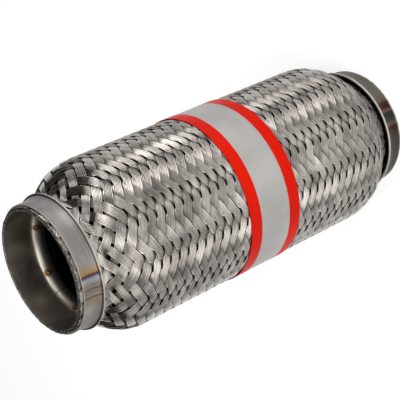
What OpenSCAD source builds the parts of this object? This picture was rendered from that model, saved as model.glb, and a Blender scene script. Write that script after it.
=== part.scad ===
// Exhaust flex pipe: a braided flexible coupler that slides over the cut ends of an exhaust tube.
// The axis is +Z. The rear end stands at z = 0 and the front end is at the top. Sizes are in mm.

/* [Pipe] */
// Length from end to end
pipe_len = 200; // [150:1:400]
// Inside diameter of each end, where the exhaust tube slides in
socket_d = 55; // [40:0.5:70]
// How far a tube goes in before it meets the liner
socket_depth = 14; // [8:0.5:20]
// Gap left between layers that are nested in each other
fit_gap = 0.12; // [0.05:0.01:0.2]

/* [End fittings] */
// Wall of each inner sleeve
sleeve_wall = 0.7; // [0.5:0.05:1.2]
// Bevel on the mouth of each inner sleeve
mouth_bevel = 0.2; // [0.1:0.05:0.4]
// Sheet thickness of each collar
collar_wall = 0.7; // [0.5:0.05:1.2]
// How far each collar sits back from the end of the pipe
collar_setback = 1.8; // [1:0.1:4]
// Length of each collar, with its lip
collar_len = 9.6; // [8:0.1:14]
// Length of the straight part of each collar
collar_grip = 3.6; // [2:0.1:5]
// How far each collar flares outwards towards its lip
collar_flare = 1.2; // [0.6:0.1:2]
// Diameter of the rolled bead on each collar's lip
lip_bead = 1.2; // [1:0.1:1.8]

/* [Bellows] */
// Wall of the bellows, its plies together
bellows_wall = 0.3; // [0.2:0.05:0.6]
// Wanted distance between neighbouring convolutions
bellows_pitch = 7; // [5:0.25:10]
// Gap between the bellows' crests and the braid
crest_gap = 0.25; // [0.1:0.05:1]

/* [Braid] */
// Diameter over the braid
braid_d = 80.5; // [74:0.5:95]
// How far the cut ends of the braid sit back from the end of the pipe
braid_setback = 0.5; // [0.2:0.1:1]
// Thickness of the braid where the collars press it flat
braid_grip_wall = 0.5; // [0.4:0.05:1]
// Thickness of the braid along the body
braid_wall = 1.5; // [1.2:0.1:2]
// Depth of the hollows between the strands
weave_depth = 0.9; // [0.4:0.1:1]
// Strands wound in each direction
strands = 24; // [16:4:28]
// Wanted distance along the axis between strands of one direction
strand_pitch = 4.95; // [4:0.05:8]
// Turn of the weave round the axis, in degrees
weave_turn = 10.25; // [0:0.25:15]
// Distance from a collar's lip to the foot of the braid's shoulder
throat_gap = 2; // [1:0.1:4]
// Radius of the hollow foot of each shoulder
throat_r = 3; // [2:0.5:6]
// Radius of the round top of each shoulder
shoulder_r = 23; // [16:0.5:30]
// Size of the open gaps in the shoulders, as a share of the weave's cell
gap_share = 0.28; // [0.15:0.01:0.4]

/* [Liner] */
// How far the liner's bore stands in from the wall of the socket
liner_step = 2.5; // [1.5:0.1:6]
// Thickness of the wound strip
strip_t = 0.5; // [0.3:0.05:0.7]
// Wanted distance between neighbouring turns
liner_pitch = 6; // [5:0.25:9]
// Width of the groove between neighbouring turns
groove_w = 2.2; // [1.5:0.1:3]
// Gap between the turns and the skirts over them
turn_gap = 0.15; // [0.1:0.05:1]
// Width of the plain ring at each end of the liner
end_ring_w = 6; // [4:0.5:8]
// Length of the skirt that seats each end ring
skirt_len = 7; // [5:0.5:10]
// How far the rounded edge of each end ring stands out round the bore
end_ring_rise = 2; // [1:0.1:2.2]
// How far that rounded edge runs into the bore
end_ring_run = 4.4; // [1:0.1:5]

/* [Label] */
// Width of the foil label round the body
label_w = 30; // [15:0.5:50]
// Width of the coloured margin along each edge of the label
label_margin = 6.4; // [3:0.1:7]
// Thickness of the foil
foil_t = 0.15; // [0.1:0.05:0.4]
// Thickness of the ink on the margins
ink_t = 0.05; // [0.02:0.01:0.1]
// Distance from the pipe's middle down to the label's middle
label_shift = 1.6; // [-20:0.1:20]

/* [Hidden] */
$fn = 96;

// Radii of the layers at each end, from the inside out
socket_r = socket_d / 2;
sleeve_r = socket_r + sleeve_wall;
cuff_in_r = sleeve_r + fit_gap;
cuff_out_r = cuff_in_r + bellows_wall;
grip_in_r = cuff_out_r + fit_gap;
grip_out_r = grip_in_r + braid_grip_wall;
collar_in_r = grip_out_r + fit_gap;
collar_out_r = collar_in_r + collar_wall;

// Each shoulder of the braid is a hollow arc at its foot and a round arc at its top
body_r = braid_d / 2;
throat_z = collar_setback + collar_len + throat_gap;
bend_a = acos(1 - (body_r - grip_out_r) / (shoulder_r + throat_r));
throat_run = throat_r * sin(bend_a);
shoulder_run = (shoulder_r + throat_r) * sin(bend_a);
shoulder_z = throat_z + shoulder_run;

// Points along an arc, or a part of an ellipse, in the half plane of radius and height
function bend(r, z, across, along, from, to, steps = 8) = [
    for (i = [0:steps])
        let (a = from + (to - from) * i / steps)
        [r + across * cos(a), z + along * sin(a)]
];
function arc(r, z, arc_r, from, to, steps = 8) = bend(r, z, arc_r, arc_r, from, to, steps);

module at_front() {
    translate([0, 0, pipe_len])
        mirror([0, 0, 1])
        children();
}

// Inner sleeve at the rear end: a short tube with a bevelled mouth
module sleeve() {
    color([0.42, 0.38, 0.35])
        rotate_extrude()
        polygon([
            [socket_r + mouth_bevel, 0],
            [sleeve_r, 0],
            [sleeve_r, socket_depth],
            [socket_r, socket_depth],
            [socket_r, mouth_bevel]
        ]);
}

module rear_sleeve() {
    sleeve();
}

module front_sleeve() {
    at_front() sleeve();
}

// Collar at the rear end: a pressed ring that grips the braid and flares to a rolled lip
collar_end_z = collar_setback + collar_len;
flare_end_z = collar_end_z - lip_bead / 2;
flare_z = collar_setback + collar_grip;
flare_steps = 10;
function flare_at(t) = [
    collar_out_r + collar_flare * t * t,
    flare_z + (flare_end_z - flare_z) * t
];
flare_line = [for (i = [0:flare_steps]) flare_at(i / flare_steps)];

module collar() {
    color([0.62, 0.6, 0.58])
        rotate_extrude()
        union() {
            polygon(concat(
                [[collar_in_r, collar_setback], [collar_out_r, collar_setback]],
                flare_line,
                [for (i = [flare_steps:-1:0]) flare_line[i] - [collar_wall, 0]]
            ));
            translate([flare_line[flare_steps][0], flare_end_z])
                circle(d = lip_bead, $fn = 24);
        }
}

module rear_collar() {
    collar();
}

module front_collar() {
    at_front() collar();
}

// Weave of the braid on a grid of columns round the axis and rows along it. Where column and row add
// up to an even number two strands cross, and elsewhere there is a hollow between four strands.
columns = 2 * strands;
column_a = 360 / columns;
weave_z = collar_end_z;
rows = 2 * round((pipe_len - 2 * weave_z) / strand_pitch);
row_h = (pipe_len - 2 * weave_z) / rows;
// Flat facets touch a circle inside at their middles
facet_fit = 1 / cos(column_a / 2);

function end_distance(z) = min(z, pipe_len - z);
// Share of the full weave at a height: none under the collars, all of it up the shoulder
function weave_share(z) = min(1, max(0, (end_distance(z) - throat_z) / throat_run));
function crest_r(z) =
    let (x = end_distance(z) - throat_z)
    x <= 0 ? grip_out_r
    : x < throat_run ? grip_out_r + throat_r - sqrt(throat_r * throat_r - x * x)
    : x < shoulder_run
        ? body_r - shoulder_r + sqrt(shoulder_r * shoulder_r - pow(shoulder_run - x, 2))
    : body_r;
function hollow_r(z) = crest_r(z) - weave_depth * weave_share(z);
function inner_r(z) =
    facet_fit * (crest_r(z) - braid_grip_wall - (braid_wall - braid_grip_wall) * weave_share(z));

function row_z(k) = weave_z + k * row_h;
function is_cross(c, k) = (c + k) % 2 == 0;
function wire_r(c, k) = is_cross(c, k) ? crest_r(row_z(k)) : hollow_r(row_z(k));
function column_turn(column) = weave_turn + column * column_a;
function polar(r, column, z) = [r * cos(column_turn(column)), r * sin(column_turn(column)), z];

// Open gaps stand in two rows of hollows in each shoulder
gap_rows = [4, 6, rows - 6, rows - 4];
function gap_row(k) = search(k, gap_rows);
function is_gap(c, k) = !is_cross(c, k) && len(gap_row(k)) > 0;

// The inner wall needs rings only along the shoulders
inner_step = 2;
inner_end = inner_step * ceil((shoulder_z - weave_z) / row_h / inner_step);
inner_rows = concat(
    [for (k = [0:inner_step:inner_end]) k],
    [for (k = [rows - inner_end:inner_step:rows]) k]
);

// Points of the outer wall, then of the inner wall, then four outer and four inner ones for each gap
cut_z = [braid_setback, pipe_len - braid_setback];
outer_points = [
    for (c = [0:columns - 1]) polar(grip_out_r, c, cut_z[0]),
    for (k = [0:rows], c = [0:columns - 1]) polar(wire_r(c, k), c, row_z(k)),
    for (c = [0:columns - 1]) polar(grip_out_r, c, cut_z[1])
];
inner_points = [
    for (c = [0:columns - 1]) polar(inner_r(0), c, cut_z[0]),
    for (k = inner_rows, c = [0:columns - 1]) polar(inner_r(row_z(k)), c, row_z(k)),
    for (c = [0:columns - 1]) polar(inner_r(pipe_len), c, cut_z[1])
];
// Steps from the middle of a gap to its right, upper, left and lower corner
gap_steps = [[1, 0], [0, 1], [-1, 0], [0, -1]];
function gap_corner(c, k, step, inner) =
    let (z = row_z(k + gap_share * step[1]))
    let (rim_r = hollow_r(z) + gap_share * (crest_r(z) - hollow_r(z)))
    polar(inner ? inner_r(z) : rim_r, c + gap_share * step[0], z);
gap_points = [
    for (k = gap_rows, c = [0:columns - 1])
        if (is_gap(c, k))
            each [for (inner = [false, true], step = gap_steps) gap_corner(c, k, step, inner)]
];

inner_base = len(outer_points);
gap_base = inner_base + len(inner_points);
function gap_index(c, k) = gap_base + 8 * (gap_row(k)[0] * strands + floor(c / 2));

// Faces of one cell between two columns and two rows. Corners run clockwise as seen from outside:
// low left, high left, high right, low right. A corner in a gap becomes the two points beside it.
function corner_points(corner, c, k, index, inner) =
    is_gap(c, k)
    ? [for (i = [4, 5]) gap_index(c, k) + (i - corner) % 4 + (inner ? 4 : 0)]
    : [index];
function cell_loop(c, low_k, high_k, low_i, high_i, first, inner) = [
    for (i = [0:3])
        let (corner = (first + i) % 4)
        let (high = corner == 1 || corner == 2)
        let (column = (corner < 2 ? c : c + 1) % columns)
        each corner_points(corner, column, high ? high_k : low_k, (high ? high_i : low_i) + column, inner)
];
function fan(loop) = [for (i = [1:len(loop) - 2]) [loop[0], loop[i], loop[i + 1]]];
function flipped(faces) = [for (face = faces) [face[2], face[1], face[0]]];

// A strand that passes over two others makes one long ridge, so its two crossings share an edge
function has_ridge(c, k) = is_cross(c, k) ? c % 4 == 0 : c % 4 == 2;
function rising_edge(c, k) = is_cross(c, k) == has_ridge(c, k);
function apex(c, k) =
    rising_edge(c, k)
    ? (is_gap((c + 1) % columns, k + 1) ? 0 : 2)
    : (is_gap(c, k + 1) ? 3 : 1);
function band(low, high) = [
    for (c = [0:columns - 1])
        let (next = (c + 1) % columns)
        each [[low + c, high + c, high + next], [low + c, high + next, low + next]]
];

outer_faces = [
    each band(0, columns),
    for (k = [0:rows - 1], c = [0:columns - 1])
        each fan(cell_loop(c, k, k + 1, (k + 1) * columns, (k + 2) * columns, apex(c, k), false)),
    each band((rows + 1) * columns, (rows + 2) * columns)
];
inner_last = len(inner_rows) - 1;
inner_faces = flipped([
    each band(inner_base, inner_base + columns),
    for (j = [0:inner_last - 1], c = [0:columns - 1])
        let (low = inner_base + (j + 1) * columns)
        let (first = is_gap((c + 1) % columns, inner_rows[j + 1]) ? 1 : 2)
        each fan(cell_loop(c, inner_rows[j], inner_rows[j + 1], low, low + columns, first, true)),
    each band(inner_base + (inner_last + 1) * columns, inner_base + (inner_last + 2) * columns)
]);
end_faces = concat(
    band(inner_base, 0),
    band((rows + 2) * columns, inner_base + (inner_last + 2) * columns)
);
gap_faces = [
    for (k = gap_rows, c = [0:columns - 1])
        if (is_gap(c, k))
            let (g = gap_index(c, k))
            each [
                for (i = [0:3])
                    let (j = (i + 1) % 4)
                    each [[g + i, g + 4 + i, g + 4 + j], [g + i, g + 4 + j, g + j]]
            ]
];

module outer_braid() {
    color([0.66, 0.63, 0.6])
        polyhedron(
            points = concat(outer_points, inner_points, gap_points),
            faces = concat(outer_faces, inner_faces, end_faces, gap_faces)
        );
}

// Bellows: a plain cuff at each end and U-shaped convolutions that fill the braid's straight part
crest_out_r = body_r - braid_wall - crest_gap;
folds = floor((pipe_len - 2 * shoulder_z) / bellows_pitch);
fold_pitch = (pipe_len - 2 * shoulder_z) / folds;
fold_r = fold_pitch / 4;
crest_arc_r = crest_out_r - bellows_wall / 2 - fold_r;
root_arc_r = cuff_in_r + bellows_wall / 2 + fold_r;

// One side of the bellows' wall, moved outwards from its middle by a part of the wall
function bellows_side(offset) = concat(
    [[cuff_in_r + bellows_wall / 2 + offset, 0]],
    arc(root_arc_r, shoulder_z - fold_pitch / 2, fold_r - offset, 180, 90, 4),
    [
        for (i = [0:folds])
            let (z = shoulder_z + i * fold_pitch)
            each concat(
                arc(crest_arc_r, z, fold_r + offset, -90, 90),
                i < folds ? arc(root_arc_r, z + fold_pitch / 2, fold_r - offset, 270, 90) : []
            )
    ],
    arc(root_arc_r, pipe_len - shoulder_z + fold_pitch / 2, fold_r - offset, 270, 180, 4),
    [[cuff_in_r + bellows_wall / 2 + offset, pipe_len]]
);
bellows_inside = bellows_side(-bellows_wall / 2);

module bellows() {
    color([0.5, 0.49, 0.48])
        rotate_extrude()
        polygon(concat(
            bellows_side(bellows_wall / 2),
            [for (i = [len(bellows_inside) - 1:-1:0]) bellows_inside[i]]
        ));
}

// Interlock liner: a wound strip with flat turns and grooves between them. Each end is a plain ring
// with a rounded edge, and a skirt that seats it in the bellows' cuff against the sleeve.
liner_r = socket_r - liner_step;
skirt_r = cuff_in_r - fit_gap;
turn_r = skirt_r - strip_t - turn_gap;
liner_z = [socket_depth + fit_gap, pipe_len - socket_depth - fit_gap];
turns_z = liner_z[0] + end_ring_w;
turns_len = pipe_len - 2 * turns_z;
turns = round((turns_len - groove_w) / liner_pitch);
turn_pitch = (turns_len - groove_w) / turns;
grooves_z = [for (i = [0:turns]) turns_z + i * turn_pitch];
edge_r = liner_r + end_ring_rise;
edge_z = [liner_z[0] + end_ring_run, liner_z[1] - end_ring_run];

// Side of the strip that faces the gas, from the rear end to the front end
liner_inside = concat(
    bend(edge_r, edge_z[0], end_ring_rise, end_ring_run, 270, 180),
    [
        for (z = grooves_z)
            each [
                [liner_r, z],
                [turn_r - strip_t, z],
                [turn_r - strip_t, z + groove_w],
                [liner_r, z + groove_w]
            ]
    ],
    bend(edge_r, edge_z[1], end_ring_rise, end_ring_run, 180, 90)
);
// Side of the strip that faces the bellows, from the front end to the rear end
liner_outside = concat(
    [
        [skirt_r, liner_z[1]],
        [skirt_r, liner_z[1] - skirt_len],
        [skirt_r - strip_t, liner_z[1] - skirt_len],
        [skirt_r - strip_t, liner_z[1] - strip_t]
    ],
    bend(edge_r, edge_z[1], end_ring_rise - strip_t, end_ring_run - strip_t, 90, 180),
    [
        for (i = [turns:-1:0])
            let (z = grooves_z[i])
            each [
                [liner_r + strip_t, z + groove_w + strip_t],
                [turn_r, z + groove_w + strip_t],
                [turn_r, z - strip_t],
                [liner_r + strip_t, z - strip_t]
            ]
    ],
    bend(edge_r, edge_z[0], end_ring_rise - strip_t, end_ring_run - strip_t, 180, 270),
    [
        [skirt_r - strip_t, liner_z[0] + strip_t],
        [skirt_r - strip_t, liner_z[0] + skirt_len],
        [skirt_r, liner_z[0] + skirt_len],
        [skirt_r, liner_z[0]]
    ]
);

module interlock_liner() {
    color([0.6, 0.57, 0.53])
        rotate_extrude()
        polygon(concat(liner_inside, liner_outside));
}

// Label: a foil band round the middle of the body with an inked margin along each edge
foil_r = body_r + fit_gap;
label_z = pipe_len / 2 - label_shift - label_w / 2;

module foil_ring(z, width, thickness) {
    translate([0, 0, z])
        rotate_extrude()
        translate([foil_r, 0])
        square([thickness, width]);
}

module label_band() {
    color([0.7, 0.71, 0.71])
        foil_ring(label_z, label_w, foil_t);
    color([0.88, 0.1, 0.04])
        for (z = [label_z, label_z + label_w - label_margin])
            foil_ring(z, label_margin, foil_t + ink_t);
}

front_collar();
rear_collar();
front_sleeve();
rear_sleeve();
outer_braid();
bellows();
interlock_liner();
label_band();
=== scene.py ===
"""Looks of the exhaust flex pipe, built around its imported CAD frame. Sizes are in metres."""

import math

import bpy
import numpy as np
from mathutils import Matrix, Vector


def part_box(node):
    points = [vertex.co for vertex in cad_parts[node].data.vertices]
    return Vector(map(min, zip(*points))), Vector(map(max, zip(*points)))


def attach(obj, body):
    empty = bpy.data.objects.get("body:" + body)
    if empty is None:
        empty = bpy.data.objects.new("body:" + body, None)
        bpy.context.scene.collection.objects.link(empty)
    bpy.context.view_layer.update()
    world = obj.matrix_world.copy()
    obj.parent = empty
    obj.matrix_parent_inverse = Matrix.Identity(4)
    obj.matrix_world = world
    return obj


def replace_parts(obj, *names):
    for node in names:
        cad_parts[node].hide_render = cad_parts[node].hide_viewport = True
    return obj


MM = 0.001

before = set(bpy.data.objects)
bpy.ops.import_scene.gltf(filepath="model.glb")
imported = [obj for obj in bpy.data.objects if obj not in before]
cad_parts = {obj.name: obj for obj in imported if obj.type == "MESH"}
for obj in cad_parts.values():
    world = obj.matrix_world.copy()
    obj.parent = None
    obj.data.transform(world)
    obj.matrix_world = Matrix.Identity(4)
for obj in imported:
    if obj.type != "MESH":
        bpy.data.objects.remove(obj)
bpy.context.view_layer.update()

# Sizes that come from the frame
PIPE_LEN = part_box("bellows")[1].z
BRAID_CUT_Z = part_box("outer_braid")[0].z
COLLAR_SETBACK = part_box("rear_collar")[0].z
LIP_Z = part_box("rear_collar")[1].z
SOCKET_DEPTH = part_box("rear_sleeve")[1].z
LABEL_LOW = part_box("label_band")[0].z
LABEL_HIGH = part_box("label_band")[1].z

# Sizes that the frame's boxes don't give, as in the part's source
BODY_R = 40.25 * MM
GRIP_R = 29.24 * MM
THROAT_GAP = 2 * MM
THROAT_R = 3 * MM
SHOULDER_R = 23 * MM
LIP_BEAD = 1.2 * MM
LINER_R = 25 * MM
LABEL_MARGIN = 6.4 * MM

# Shoulder of the braid: a hollow arc at its foot and a round arc at its top
THROAT_Z = LIP_Z + THROAT_GAP
BEND = math.acos(1 - (BODY_R - GRIP_R) / (SHOULDER_R + THROAT_R))
THROAT_RUN = THROAT_R * math.sin(BEND)
SHOULDER_RUN = (SHOULDER_R + THROAT_R) * math.sin(BEND)

# Weave of the braid, as in the part's source: on a grid of columns round the pipe and rows along it,
# each strand passes over two others and under the next two
STRANDS = 24
COLUMN_ANGLE = math.tau / (2 * STRANDS)
ROWS = 72
ROW_H = (PIPE_LEN - 2 * LIP_Z) / ROWS
WEAVE_TURN = math.radians(10.25)
WEAVE_REPEAT = 4

# A strand along the body, and where the collars press it flat
STRAND_W = 4.22 * MM
STRAND_W_GRIPPED = 3.6 * MM
STRAND_T = 0.4 * MM
STRAND_T_GRIPPED = 0.24 * MM
STRAND_LIFT = 0.34 * MM
STRAND_LIFT_GRIPPED = 0.12 * MM
STRAND_CROWN = 0.13 * MM
WIRES = 7
WIRE_DEPTH = 0.26 * MM
WIRE_DEPTH_GRIPPED = 0.1 * MM
# Depth of a strand's two edges, as a share of the depth between its wires
EDGE_DEPTH = 0.35
# Most that a strand fills of the room between its neighbours
WIDEST_SHARE = 0.98
# Higher values make the floats flatter on top
FLOAT_FLATNESS = 1.3
# Share of a point's distance from the strand's middle that counts for its height in the weave
WEAVE_SKEW = 0.5
STEPS_PER_ROW = 5
STRANDS_PER_PIECE = 8
SEED = 7

# Shares of their room from which strands begin to lie tight, and lie fully tight
TIGHT_SHARES = (0.82, 0.92)
# Tight strands are pinched at the hollows between floats, most near one column in each repeat
STRAND_PINCH = 0.4
PINCH_SHARPNESS = 3
PINCH_COLUMN = 3.5

# Sideways wander of a strand in columns, and the range of its pace in radians a row
SLOW_WANDER = 0.05
SLOW_PACE = (0.25, 0.45)
QUICK_WANDER = 0.03
QUICK_PACE = (1.0, 1.6)

# Frayed ends of the strands, which stray outwards and, shifted by some places, along the pipe
FRAY_LEN = 1.3 * MM
FRAY_OUT = 0.2 * MM
FRAY_ALONG = 0.28 * MM
FRAY_SHIFT = 7

# Shares of a strand's tone that are its own and its wires'
STRAND_TONE = 0.6
WIRE_TONE = 0.4

# Painted shade and darkening on the strands, as a share of full dark
# Painted shade in the valleys between the wires
VALLEY_SHADE = 0.45
# Darker on the strands' cut ends, where they reach past the collars
CUT_END_DARKENING = 0.45
# Darker towards the rear end, below a height and over a fade
REAR_DARKENING = 0.55
REAR_DARKENING_Z = 28 * MM
REAR_DARKENING_FADE = 12 * MM
# Painted shade where strands dip, by height in the weave from 1 on top to -1 underneath
DIP_HEIGHTS = (-0.3, 0.25, 0.75)
DIP_SHADE = (1, 0.5, 0)
# Share of that painted shade on strands that don't lie tight
LOOSE_DIP = 0.5

# Marks, edges, painted shade and a painted highlight that the materials of the CAD nodes show
BRUSH_ROUND = 0.4
BRUSH_ALONG = 4000
# Reaches of the painted shade in the collars' crease and of their lighter front edge
CREASE_SHADE_REACH = 0.35 * MM
BRIGHT_EDGE_REACH = 0.4 * MM
SLEEVE_RIM = (0.1 * MM, 0.4 * MM)
BELLOWS_RIM = (0.5 * MM, 1.0 * MM)
WELDS = 7
WELD_ANGLE = math.radians(43)
WELD_DEPTH = SOCKET_DEPTH + 1.9 * MM
WELD_REACH = 2.4 * MM
STRIP_END_DEGREES = 117
STRIP_END_REACH = 1.0
# Depths over which painted shade turns the liner near black further in
LINER_SHADE_DEPTHS = (SOCKET_DEPTH + 2.5 * MM, SOCKET_DEPTH + 7 * MM)
INK_WAVER = 0.3 * MM

# Heat tint of the collars, as angle round the axis in degrees and colour; the rear collar's colours are
# also darker all round
FRONT_TINT = [
    (-140, (1.0, 1.0, 1.0)),
    (-132, (1.0, 0.86, 0.7)),
    (-129.5, (1.0, 0.8, 0.6)),
    (-128.2, (0.5, 0.24, 0.2)),
    (-127, (0.95, 0.85, 0.75)),
    (-125.5, (1.0, 0.97, 0.85)),
    (-124.3, (0.6, 0.58, 0.5)),
    (-123, (0.9, 0.86, 0.74)),
    (-121.2, (0.4, 0.36, 0.32)),
    (-119.5, (1.0, 0.8, 0.58)),
    (-118, (0.7, 0.7, 0.7)),
    (-115.8, (0.95, 0.98, 1.05)),
    (-113, (1.05, 1.1, 1.2)),
    (-111.6, (0.62, 0.7, 0.95)),
    (-110.4, (0.16, 0.17, 0.36)),
    (-109.3, (0.36, 0.12, 0.1)),
    (-108, (0.95, 0.58, 0.28)),
    (-105, (1.0, 0.82, 0.55)),
    (-100, (1.0, 1.0, 1.0)),
]
REAR_TINT = [
    (-118, (0.3, 0.26, 0.23)),
    (-110, (0.31, 0.23, 0.19)),
    (-105.5, (0.19, 0.085, 0.065)),
    (-101, (0.56, 0.51, 0.4)),
    (-98.5, (0.2, 0.22, 0.2)),
    (-94, (0.14, 0.15, 0.14)),
    (-90.5, (0.14, 0.13, 0.12)),
    (-87.5, (0.53, 0.37, 0.27)),
    (-85, (0.19, 0.07, 0.055)),
    (-80.5, (0.19, 0.085, 0.065)),
    (-77, (0.51, 0.39, 0.3)),
    (-68, (0.53, 0.48, 0.43)),
]

# Camera of the photograph, with the pipe standing upright
PHOTO_PX = 400
CAMERA_ELEVATION = math.radians(33.987)
CAMERA_ROLL = math.radians(114.677)
CAMERA_DISTANCE = 569.917 * MM
CAMERA_FOCAL_PX = 1202.856
CAMERA_SHIFT = (0.827 * MM, -7.734 * MM)
CAMERA_NEAR = 10 * MM
SENSOR_MM = 36

# Floor, world and lamps of the studio
FLOOR_REACH = 8
FLOOR_RIM = 0.5
FLOOR_GREY = 0.62
FLOOR_GLOW = 0.68
WORLD_STRENGTH = 0.09
LAMP_DISTANCE = 1.2
LAMP_SIZE = 0.7
# Each lamp's name, azimuth and elevation in degrees, and watts. Azimuth 0 is the camera's side.
LAMPS = [
    ("right_low", 60, 12, 5.9),
    ("front_right_low", 30, 12, 0.7),
    ("front_low", 0, 12, 0.8),
    ("left_low", -30, 12, 3.7),
    ("side_low", -60, 12, 1.3),
    ("right_near", 30, 40, 2.2),
    ("left_near", -30, 40, 2.8),
    ("left", -90, 40, 2.2),
    ("top", 0, 68, 4.0),
]


# Building blocks for meshes


def new_object(name, mesh, material):
    piece = bpy.data.objects.new(name, mesh)
    bpy.context.scene.collection.objects.link(piece)
    mesh.materials.append(material)
    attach(piece, "root")
    return piece


def mesh_from_quads(name, points, quads, caps):
    """A mesh from an array of points, an array of quads and a list of end polygons."""
    mesh = bpy.data.meshes.new(name)
    mesh.vertices.add(len(points))
    mesh.vertices.foreach_set("co", points.astype(np.float32).ravel())
    loops = np.concatenate([quads.ravel()] + [np.asarray(cap) for cap in caps]).astype(np.int32)
    sizes = np.concatenate([np.full(len(quads), 4), [len(cap) for cap in caps]]).astype(np.int32)
    starts = np.concatenate([[0], np.cumsum(sizes)[:-1]]).astype(np.int32)
    mesh.loops.add(len(loops))
    mesh.loops.foreach_set("vertex_index", loops)
    mesh.polygons.add(len(sizes))
    mesh.polygons.foreach_set("loop_start", starts)
    mesh.polygons.foreach_set("loop_total", sizes)
    mesh.polygons.foreach_set("use_smooth", np.ones(len(sizes), bool))
    mesh.update(calc_edges=True)
    return mesh


def point_values(mesh, name, values):
    attribute = mesh.attributes.new(name, "FLOAT", "POINT")
    attribute.data.foreach_set("value", values.astype(np.float32).ravel())


# Braid


def end_distance(z):
    return np.minimum(z, PIPE_LEN - z)


def crest_radius(z):
    """Radius over the braid at a height."""
    x = end_distance(z) - THROAT_Z
    foot = GRIP_R + THROAT_R - np.sqrt(np.clip(THROAT_R**2 - x**2, 0, None))
    top = BODY_R - SHOULDER_R + np.sqrt(np.clip(SHOULDER_R**2 - (SHOULDER_RUN - x) ** 2, 0, None))
    shoulder = np.where(x < THROAT_RUN, foot, top)
    return np.where(x <= 0, GRIP_R, np.where(x >= SHOULDER_RUN, BODY_R, shoulder))


def loft(z):
    """How far the braid is free of the collars' grip, from 0 to 1."""
    t = np.clip((end_distance(z) - THROAT_Z) / THROAT_RUN, 0, 1)
    return t * t * (3 - 2 * t)


def between(gripped, free, z):
    return gripped + (free - gripped) * loft(z)


def strand_rows():
    """Places along a strand, counted in rows of the weave, from cut end to cut end."""
    first = (BRAID_CUT_Z - LIP_Z) / ROW_H
    last = ROWS - first
    inner = np.arange(math.ceil(first * STEPS_PER_ROW), last * STEPS_PER_ROW) / STEPS_PER_ROW
    return np.concatenate([[first], inner, [last]])[:, None]


def strand_spacing(radius, slope):
    """Distance between the middles of neighbouring strands of one direction."""
    across = radius * COLUMN_ANGLE
    along = ROW_H * np.sqrt(1 + slope**2)
    return 2 * across * along / np.hypot(across, along)


def strand_profile():
    """Section of a strand as shares: across it, of the wires' depth, and of its thickness."""
    across = np.linspace(-1, 1, 2 * WIRES + 1)
    valley = np.arange(2 * WIRES + 1) % 2 == 0
    across = np.concatenate([across, [1, -1]])
    depth = np.concatenate([np.where(valley, 1.0, 0.0), [0, 0]])
    depth[[0, 2 * WIRES]] = EDGE_DEPTH
    below = np.concatenate([np.zeros(2 * WIRES + 1), [1, 1]])
    return across, depth, below


def wander(rows, rng):
    """How far a strand strays sideways, in columns."""
    slow = SLOW_WANDER * np.sin(rows * rng.uniform(*SLOW_PACE) + rng.uniform(0, math.tau))
    quick = QUICK_WANDER * np.sin(rows * rng.uniform(*QUICK_PACE) + rng.uniform(0, math.tau))
    return slow + quick


def pinch(middle, across):
    """How far a strand's edges are drawn in, from 0 to 1, by the column that each edge runs in."""
    edge = middle + np.sign(across)
    hollow = np.abs(np.cos(math.pi * edge)) ** PINCH_SHARPNESS
    beside_floats = 0.5 + 0.5 * np.cos(math.tau * (edge - PINCH_COLUMN) / WEAVE_REPEAT)
    return hollow * beside_floats


def over_under(column):
    """1 where the rising strands pass over, -1 where they pass under; each float covers two crossings."""
    wave = np.cos(math.tau * (column - 0.5) / WEAVE_REPEAT)
    return np.tanh(FLOAT_FLATNESS * wave) / math.tanh(FLOAT_FLATNESS)


def strand_points(index, rising, rng):
    """Points of one strand, as rings of its section along the pipe, and the painted shade where it dips."""
    across, depth, below = strand_profile()
    rows = strand_rows()
    z = LIP_Z + rows * ROW_H
    radius = crest_radius(z)
    slope = np.gradient(radius[:, 0], z[:, 0])[:, None]
    stray = wander(rows, rng)
    turn = 1 if rising else -1
    middle = 2 * index + turn * rows
    # Width of the strand, in columns to each side
    width = np.interp(radius, (GRIP_R, BODY_R), (STRAND_W_GRIPPED, STRAND_W))
    half = np.minimum(WIDEST_SHARE, width / strand_spacing(radius, slope))
    tight = np.interp(half, TIGHT_SHARES, (0, 1))
    side = half * (1 - STRAND_PINCH * tight * pinch(middle, across)) * across
    # Height of each point, measured outwards from the braid's crest
    over = turn * over_under(middle + WEAVE_SKEW * side)
    lift = between(STRAND_LIFT_GRIPPED, STRAND_LIFT, z)
    crown = between(0, STRAND_CROWN, z) * across**2
    wire = between(WIRE_DEPTH_GRIPPED, WIRE_DEPTH, z)
    thick = between(STRAND_T_GRIPPED, STRAND_T, z)
    height = lift * (over - 1) - crown - wire * depth - thick * below
    # Frayed ends
    fray = np.clip(1 - (end_distance(z) - BRAID_CUT_Z) / FRAY_LEN, 0, 1)
    ragged = np.where(z < PIPE_LEN / 2, *rng.uniform(-1, 1, (2, len(across))))
    normal_len = np.sqrt(1 + slope**2)
    out = radius + height / normal_len + FRAY_OUT * fray * ragged
    up = z - height * slope / normal_len + FRAY_ALONG * fray * np.roll(ragged, FRAY_SHIFT, axis=1)
    angle = (middle + side + stray) * COLUMN_ANGLE + WEAVE_TURN
    # Painted shade where the strand dips under the crossing strands
    dip = (LOOSE_DIP + (1 - LOOSE_DIP) * tight) * np.interp(over, DIP_HEIGHTS, DIP_SHADE)
    return np.stack([out * np.cos(angle), out * np.sin(angle), up], -1), dip


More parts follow.
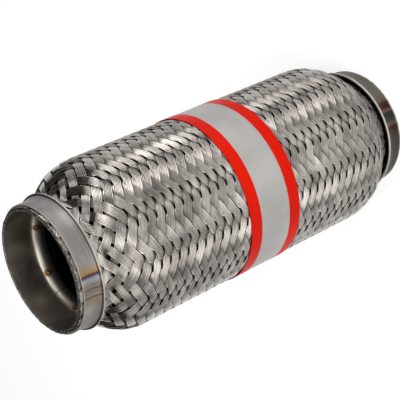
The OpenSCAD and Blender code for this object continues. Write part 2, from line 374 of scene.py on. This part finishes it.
def strand_mesh(name, strands):
    """One mesh of several closed strands, sharp along the valleys between their wires."""
    count, rings, ring, _ = strands.shape
    low = np.arange(rings - 1)[:, None] * ring
    high = low + ring
    place = np.arange(ring)[None, :]
    beside = (place + 1) % ring
    quads = np.stack([low + place, low + beside, high + beside, high + place], -1).reshape(-1, 4)
    per_strand = rings * ring
    starts = [i * per_strand for i in range(count)]
    all_quads = np.concatenate([quads + start for start in starts])
    caps = []
    for start in starts:
        caps.append(list(range(start + ring - 1, start - 1, -1)))
        caps.append(list(range(start + per_strand - ring, start + per_strand)))
    mesh = mesh_from_quads(name, strands.reshape(-1, 3), all_quads, caps)
    ends = np.empty(2 * len(mesh.edges), np.int32)
    mesh.edges.foreach_get("vertices", ends)
    from_place, to_place = ends.reshape(-1, 2).T % ring
    valley = (from_place % 2 == 0) | (from_place > 2 * WIRES)
    sharp = mesh.attributes.new("sharp_edge", "BOOLEAN", "EDGE")
    sharp.data.foreach_set("value", (from_place == to_place) & valley)
    return mesh


def strand_tones(strands, rng):
    """A tone for each strand, varied from wire to wire."""
    count, rings, ring, _ = strands.shape
    tones = STRAND_TONE * rng.uniform(0, 1, (count, 1, 1)) + WIRE_TONE * rng.uniform(0, 1, (count, 1, ring))
    return np.broadcast_to(tones, (count, rings, ring))


def strand_shade_and_darkening(strands, dips):
    """Painted shade between the wires, underneath and where strands dip; darker at the cut ends and towards
    the rear end.
    """
    _, depth, below = strand_profile()
    z = strands[..., 2]
    # Darker on the strands' cut ends, where they reach past the collars
    cut = CUT_END_DARKENING * (end_distance(z) < COLLAR_SETBACK)
    # Darker towards the rear end
    rear_darkening = REAR_DARKENING * np.clip((REAR_DARKENING_Z - z) / REAR_DARKENING_FADE, 0, 1)
    # Undersides get full painted shade, and the valleys between the wires part of it
    return np.maximum.reduce(np.broadcast_arrays(VALLEY_SHADE * depth, below, dips, cut, rear_darkening))


def build_braid(material):
    """The strands of both directions, in pieces of several strands each."""
    rng = np.random.default_rng(SEED)
    for rising, label in ((True, "rising"), (False, "falling")):
        for start in range(0, STRANDS, STRANDS_PER_PIECE):
            members = range(start, start + STRANDS_PER_PIECE)
            strands, dips = map(np.array, zip(*(strand_points(i, rising, rng) for i in members)))
            name = f"braid_{label}_{start // STRANDS_PER_PIECE + 1}"
            mesh = strand_mesh(name, strands)
            point_values(mesh, "tone", strand_tones(strands, rng))
            # The attribute carries the braid's painted shade and darkening
            point_values(mesh, "shade_and_darkening", strand_shade_and_darkening(strands, dips))
            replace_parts(new_object(name, mesh, material), "outer_braid")


# Materials


class Shader:
    """A material with short calls for its nodes."""

    def __init__(self, name, **constants):
        self.material = bpy.data.materials.new(name)
        self.material.use_nodes = True
        self.tree = self.material.node_tree
        self.surface = self.tree.nodes["Principled BSDF"]
        for socket, value in constants.items():
            self.surface.inputs[socket.replace("_", " ")].default_value = value

    def node(self, kind, **settings):
        made = self.tree.nodes.new(kind)
        for key, value in settings.items():
            setattr(made, key, value)
        return made

    def put(self, value, socket):
        if isinstance(value, bpy.types.NodeSocket):
            self.tree.links.new(value, socket)
        else:
            socket.default_value = value

    def math(self, operation, *values):
        made = self.node("ShaderNodeMath", operation=operation)
        for value, socket in zip(values, made.inputs):
            self.put(value, socket)
        return made.outputs[0]

    def mix(self, factor, a, b, blend="MIX"):
        made = self.node("ShaderNodeMix", data_type="RGBA", blend_type=blend)
        self.put(factor, made.inputs[0])
        self.put(a, made.inputs[6])
        self.put(b, made.inputs[7])
        return made.outputs[2]

    def ramp(self, value, stops):
        made = self.node("ShaderNodeValToRGB")
        elements = made.color_ramp.elements
        while len(elements) < len(stops):
            elements.new(0.5)
        for element, (place, colour) in zip(elements, stops):
            element.position = place
            element.color = (*colour, 1)
        self.put(value, made.inputs[0])
        return made.outputs[0]

    def span(self, value, low, high, new_low=0.0, new_high=1.0):
        made = self.node("ShaderNodeMapRange", clamp=True)
        for item, socket in zip((value, low, high, new_low, new_high), made.inputs):
            self.put(item, socket)
        return made.outputs[0]

    def attribute(self, name):
        return self.node("ShaderNodeAttribute", attribute_name=name).outputs["Fac"]

    def object_place(self):
        return self.node("ShaderNodeTexCoord").outputs["Object"]

    def angle_and_height(self):
        """Angle round the pipe's axis and height along it."""
        split = self.node("ShaderNodeSeparateXYZ")
        self.put(self.object_place(), split.inputs[0])
        x, y, z = split.outputs
        return self.math("ARCTAN2", y, x), z

    def vector(self, x, y, z):
        made = self.node("ShaderNodeCombineXYZ")
        for value, socket in zip((x, y, z), made.inputs):
            self.put(value, socket)
        return made.outputs[0]

    def noise(self, vector, scale, detail, roughness=0.5):
        made = self.node("ShaderNodeTexNoise")
        self.put(vector, made.inputs["Vector"])
        made.inputs["Scale"].default_value = scale
        made.inputs["Detail"].default_value = detail
        made.inputs["Roughness"].default_value = roughness
        return made.outputs["Fac"]

    def object_noise(self, scale, detail):
        return self.noise(self.object_place(), scale, detail)

    def bump(self, height, distance, strength):
        made = self.node("ShaderNodeBump")
        made.inputs["Strength"].default_value = strength
        made.inputs["Distance"].default_value = distance
        self.put(height, made.inputs["Height"])
        self.put(made.outputs[0], self.surface.inputs["Normal"])

    def base(self, colour):
        self.put(colour, self.surface.inputs["Base Color"])

    def rough(self, value):
        self.put(value, self.surface.inputs["Roughness"])


def brushed(shader, angle, z):
    """Fine lines round the axis."""
    x = shader.math("MULTIPLY", angle, BRUSH_ROUND)
    y = shader.math("MULTIPLY", z, BRUSH_ALONG)
    return shader.noise(shader.vector(x, y, 0.0), 1.0, 2.0, 0.6)


def from_end(shader, z):
    """Distance along the axis from the nearer end of the pipe."""
    return shader.math("MINIMUM", z, shader.math("SUBTRACT", PIPE_LEN, z))


def near(shader, value, middle, reach):
    """1 at a value, falling to 0 at a reach from it."""
    away = shader.math("ABSOLUTE", shader.math("SUBTRACT", value, middle))
    return shader.span(away, 0.0, reach, 1.0, 0.0)


def braid_material():
    """Bright wires of mixed tone, with painted shade where they dip, between their wires and underneath,
    and darker at their cut ends and towards the rear end.
    """
    shader = Shader("braid_wire", Metallic=1.0)
    grain = shader.object_noise(900, 2)
    patch = shader.object_noise(140, 3)
    wear = shader.math("MULTIPLY_ADD", shader.attribute("tone"), 0.4, shader.math("MULTIPLY", patch, 0.6))
    steel = shader.ramp(wear, [(0.25, (0.19, 0.173, 0.155)), (0.75, (0.61, 0.57, 0.524))])
    # Painted shade and darkening mix the steel towards near black
    shader.base(shader.mix(shader.attribute("shade_and_darkening"), steel, (0.03, 0.027, 0.024, 1)))
    shader.rough(shader.span(grain, 0.3, 0.7, 0.08, 0.16))
    return shader.material


def heat_tint(shader, angle, tint):
    """Colours by angle round the axis, with slightly wavy borders."""
    first, last = tint[0][0], tint[-1][0]
    waver = shader.math("MULTIPLY_ADD", shader.object_noise(60, 2), 3.0, -1.5)
    degrees = shader.math("ADD", shader.math("DEGREES", angle), waver)
    stops = [((place - first) / (last - first), colour) for place, colour in tint]
    return shader.ramp(shader.span(degrees, first, last), stops)


def collar_material(name, tint):
    """Satin sheet with cloudy patches, heat tint beside the weld, painted shade in the crease along the
    lip, a painted highlight on the lip's bead and a lighter front edge.
    """
    shader = Shader(name, Metallic=1.0)
    angle, z = shader.angle_and_height()
    depth = from_end(shader, z)
    lines = brushed(shader, angle, z)
    cloud = shader.object_noise(85, 5)
    streaky = shader.math("MULTIPLY_ADD", lines, 0.4, shader.math("MULTIPLY", cloud, 0.6))
    steel = shader.ramp(streaky, [(0.36, (0.13, 0.124, 0.118)), (0.64, (0.29, 0.278, 0.266))])
    tinted = shader.mix(1.0, steel, heat_tint(shader, angle, tint), "MULTIPLY")
    # Painted shade in the crease at the foot of the lip's bead
    crease = near(shader, depth, LIP_Z - LIP_BEAD, CREASE_SHADE_REACH)
    crease_shaded = shader.mix(shader.math("MULTIPLY", crease, 0.6), tinted, (0.06, 0.054, 0.048, 1))
    # Lighter at the front edge, and a painted highlight on the lip's bead
    edge = near(shader, depth, COLLAR_SETBACK, BRIGHT_EDGE_REACH)
    bead = shader.span(depth, LIP_Z - 0.75 * LIP_BEAD, LIP_Z - 0.55 * LIP_BEAD)
    bright_edge_and_bead_highlight = shader.math("MULTIPLY", shader.math("MAXIMUM", edge, bead), 0.8)
    shader.base(shader.mix(bright_edge_and_bead_highlight, crease_shaded, (0.58, 0.54, 0.495, 1)))
    satin = shader.math("ADD", shader.span(lines, 0.3, 0.7, 0.4, 0.5), shader.math("MULTIPLY", cloud, 0.08))
    shader.rough(shader.math("ADD", satin, shader.math("MULTIPLY", edge, 0.15)))
    shader.bump(lines, 0.01 * MM, 0.4)
    return shader.material


def sleeve_material():
    """Dull tube, browned and mottled inside, with a rough cut edge."""
    shader = Shader("sleeve_steel", Metallic=1.0)
    angle, z = shader.angle_and_height()
    patch = shader.object_noise(70, 5)
    specks = shader.object_noise(600, 3)
    dull = shader.ramp(patch, [
        (0.3, (0.15, 0.122, 0.098)),
        (0.52, (0.24, 0.205, 0.172)),
        (0.7, (0.33, 0.295, 0.26)),
    ])
    rim = shader.span(from_end(shader, z), *SLEEVE_RIM, 1.0, 0.0)
    cut = shader.ramp(specks, [(0.4, (0.1, 0.09, 0.08)), (0.6, (0.36, 0.34, 0.32))])
    shader.base(shader.mix(rim, dull, cut))
    rubbed = shader.span(shader.math("ADD", brushed(shader, angle, z), patch), 0.7, 1.3, 0.42, 0.6)
    shader.rough(shader.math("MULTIPLY_ADD", rim, 0.1, rubbed))
    shader.bump(specks, 0.03 * MM, 0.3)
    return shader.material


def from_weld(shader, angle, depth):
    """Distance from the middle of the nearest spot weld on the liner's end rings."""
    step = math.tau / WELDS
    turned = shader.math("SUBTRACT", angle, WELD_ANGLE - step / 2)
    nearest = shader.math("SUBTRACT", shader.math("FLOORED_MODULO", turned, step), step / 2)
    across = shader.math("POWER", shader.math("MULTIPLY", nearest, LINER_R), 2.0)
    along = shader.math("POWER", shader.math("SUBTRACT", depth, WELD_DEPTH), 2.0)
    return shader.math("SQRT", shader.math("ADD", across, along))


def liner_material():
    """Bright strip with brown spot weld marks on its end rings, and painted shade that turns it near black
    further in.
    """
    shader = Shader("liner_steel", Metallic=1.0)
    angle, z = shader.angle_and_height()
    depth = from_end(shader, z)
    lines = brushed(shader, angle, z)
    patch = shader.object_noise(80, 4)
    bright = shader.ramp(patch, [(0.3, (0.4, 0.36, 0.32)), (0.7, (0.56, 0.52, 0.47))])
    burn = shader.ramp(shader.math("DIVIDE", from_weld(shader, angle, depth), WELD_REACH), [
        (0.0, (0.75, 0.62, 0.5)),
        (0.26, (0.6, 0.42, 0.28)),
        (0.38, (0.16, 0.075, 0.035)),
        (0.5, (0.2, 0.1, 0.05)),
        (0.62, (0.72, 0.55, 0.38)),
        (1.0, (1.0, 1.0, 1.0)),
    ])
    marked = shader.mix(1.0, bright, burn, "MULTIPLY")
    lap = near(shader, shader.math("DEGREES", angle), STRIP_END_DEGREES, STRIP_END_REACH)
    lapped = shader.mix(shader.math("MULTIPLY", lap, 0.8), marked, (0.05, 0.042, 0.036, 1))
    # Painted shade, near black, deeper inside the liner
    shader.base(shader.mix(shader.span(depth, *LINER_SHADE_DEPTHS), lapped, (0.018, 0.016, 0.014, 1)))
    shader.rough(shader.span(lines, 0.3, 0.7, 0.32, 0.44))
    return shader.material


def bellows_material():
    """Thin sheet, near black as painted shade under the braid, and plain at its cut edges."""
    shader = Shader("bellows_steel", Metallic=1.0)
    _, z = shader.angle_and_height()
    patch = shader.object_noise(120, 3)
    specks = shader.object_noise(700, 3)
    # Near black base as painted shade, where the bellows lies under the braid
    dark = shader.ramp(patch, [(0.3, (0.03, 0.027, 0.024)), (0.7, (0.055, 0.05, 0.046))])
    cut = shader.ramp(specks, [(0.4, (0.07, 0.064, 0.058)), (0.6, (0.28, 0.265, 0.25))])
    rim = shader.span(from_end(shader, z), *BELLOWS_RIM, 1.0, 0.0)
    shader.base(shader.mix(rim, dark, cut))
    shader.rough(shader.math("MULTIPLY_ADD", rim, 0.15, shader.span(patch, 0.3, 0.7, 0.4, 0.55)))
    return shader.material


def weave_waves(shader, angle, z):
    """Waves of the weave's cells, from -1 to 1."""
    column = shader.math("MULTIPLY", angle, 1 / COLUMN_ANGLE)
    row = shader.math("MULTIPLY", z, 1 / ROW_H)
    round_waves = shader.math("SINE", shader.math("MULTIPLY", column, math.pi))
    along_waves = shader.math("SINE", shader.math("MULTIPLY", row, math.pi))
    return shader.math("MULTIPLY", round_waves, along_waves)


def label_material():
    """Matt foil that takes on a little of the weave under it, with a red margin along each edge."""
    shader = Shader("label_foil")
    angle, z = shader.angle_and_height()
    grain = shader.object_noise(2500, 2)
    patch = shader.object_noise(45, 3)
    foil = shader.ramp(patch, [(0.3, (0.345, 0.334, 0.318)), (0.7, (0.435, 0.423, 0.402))])
    uneven = shader.math("MULTIPLY_ADD", shader.object_noise(500, 2), INK_WAVER, z)
    low = shader.math("LESS_THAN", uneven, LABEL_LOW + LABEL_MARGIN + INK_WAVER / 2)
    high = shader.math("GREATER_THAN", uneven, LABEL_HIGH - LABEL_MARGIN + INK_WAVER / 2)
    red = shader.math("MAXIMUM", low, high)
    ink = shader.ramp(patch, [(0.3, (0.6, 0.007, 0.001)), (0.7, (0.7, 0.012, 0.002))])
    shader.base(shader.mix(red, foil, ink))
    shader.put(shader.span(red, 0.0, 1.0, 0.6, 0.0), shader.surface.inputs["Metallic"])
    shader.put(shader.span(red, 0.0, 1.0, 0.15, 0.06), shader.surface.inputs["Specular IOR Level"])
    shader.rough(shader.span(grain, 0.3, 0.7, 0.38, 0.48))
    waves = shader.math("MULTIPLY", weave_waves(shader, angle, z), 0.3)
    lumps = shader.math("MULTIPLY_ADD", shader.object_noise(160, 3), 2.0, waves)
    shader.bump(shader.math("MULTIPLY_ADD", grain, 0.06, lumps), 0.15 * MM, 0.5)
    return shader.material


def dress_cad_nodes():
    """Give each CAD node that is shown a material; the two sleeves share one."""
    sleeve = sleeve_material()
    materials = {
        "front_collar": collar_material("front_collar_steel", FRONT_TINT),
        "rear_collar": collar_material("rear_collar_steel", REAR_TINT),
        "front_sleeve": sleeve,
        "rear_sleeve": sleeve,
        "interlock_liner": liner_material(),
        "bellows": bellows_material(),
        "label_band": label_material(),
    }
    for node, material in materials.items():
        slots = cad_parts[node].data.materials
        slots.clear()
        slots.append(material)


# Studio


def add_camera():
    """The photograph's camera: it looks down on the standing pipe and is rolled as the photograph is."""
    back = Vector((0, -math.cos(CAMERA_ELEVATION), math.sin(CAMERA_ELEVATION)))
    right = Vector((1, 0, 0))
    up = back.cross(right)
    middle = Vector((0, 0, PIPE_LEN / 2))
    eye = middle + CAMERA_DISTANCE * back - CAMERA_SHIFT[0] * right - CAMERA_SHIFT[1] * up
    image_right = math.cos(CAMERA_ROLL) * right - math.sin(CAMERA_ROLL) * up
    image_up = math.sin(CAMERA_ROLL) * right + math.cos(CAMERA_ROLL) * up
    data = bpy.data.cameras.new("photo_camera")
    data.sensor_width = SENSOR_MM
    data.lens = SENSOR_MM * CAMERA_FOCAL_PX / PHOTO_PX
    data.clip_start = CAMERA_NEAR
    camera = bpy.data.objects.new("photo_camera", data)
    axes = Matrix((image_right, image_up, back)).transposed()
    camera.matrix_world = Matrix.Translation(eye) @ axes.to_4x4()
    bpy.context.scene.collection.objects.link(camera)
    bpy.context.scene.camera = camera


def floor_material():
    """Pale and matt, with a glow where it is seen or mirrored."""
    shader = Shader("floor", Roughness=0.9, Specular_IOR_Level=0.0, Emission_Color=(1, 1, 1, 1))
    shader.base((FLOOR_GREY, FLOOR_GREY, FLOOR_GREY, 1))
    rays = shader.node("ShaderNodeLightPath").outputs
    mirrored = shader.math("MAXIMUM", rays["Is Glossy Ray"], rays["Is Transmission Ray"])
    seen = shader.math("MAXIMUM", rays["Is Camera Ray"], mirrored)
    shader.put(shader.math("MULTIPLY", seen, FLOOR_GLOW), shader.surface.inputs["Emission Strength"])
    return shader.material


def add_floor():
    """A square floor with a low rim far away, so that low views see no world above its edge."""
    ground = [(x * FLOOR_REACH, y * FLOOR_REACH) for x, y in ((-1, -1), (1, -1), (1, 1), (-1, 1))]
    corners = [(x, y, z) for z in (0, FLOOR_RIM) for x, y in ground]
    walls = [(i, i + 4, (i + 1) % 4 + 4, (i + 1) % 4) for i in range(4)]
    mesh = bpy.data.meshes.new("floor")
    mesh.from_pydata(corners, [], [(0, 1, 2, 3), *walls])
    mesh.materials.append(floor_material())
    floor = bpy.data.objects.new("floor", mesh)
    bpy.context.scene.collection.objects.link(floor)


def add_lamp(name, azimuth, elevation, power):
    """A square soft lamp that faces the pipe's middle."""
    a, e = math.radians(azimuth), math.radians(elevation)
    direction = Vector((math.sin(a) * math.cos(e), -math.cos(a) * math.cos(e), math.sin(e)))
    data = bpy.data.lights.new(name, "AREA")
    data.size = LAMP_SIZE
    data.energy = power
    lamp = bpy.data.objects.new(name, data)
    lamp.location = Vector((0, 0, PIPE_LEN / 2)) + LAMP_DISTANCE * direction
    lamp.rotation_euler = direction.to_track_quat("Z", "Y").to_euler()
    bpy.context.scene.collection.objects.link(lamp)


def add_studio():
    scene = bpy.context.scene
    scene.view_settings.view_transform = "Standard"
    world = bpy.data.worlds.new("studio")
    scene.world = world
    world.use_nodes = True
    background = world.node_tree.nodes["Background"]
    background.inputs["Color"].default_value = (1, 1, 1, 1)
    background.inputs["Strength"].default_value = WORLD_STRENGTH
    add_camera()
    add_floor()
    for lamp in LAMPS:
        add_lamp(*lamp)


add_studio()
dress_cad_nodes()
build_braid(braid_material())
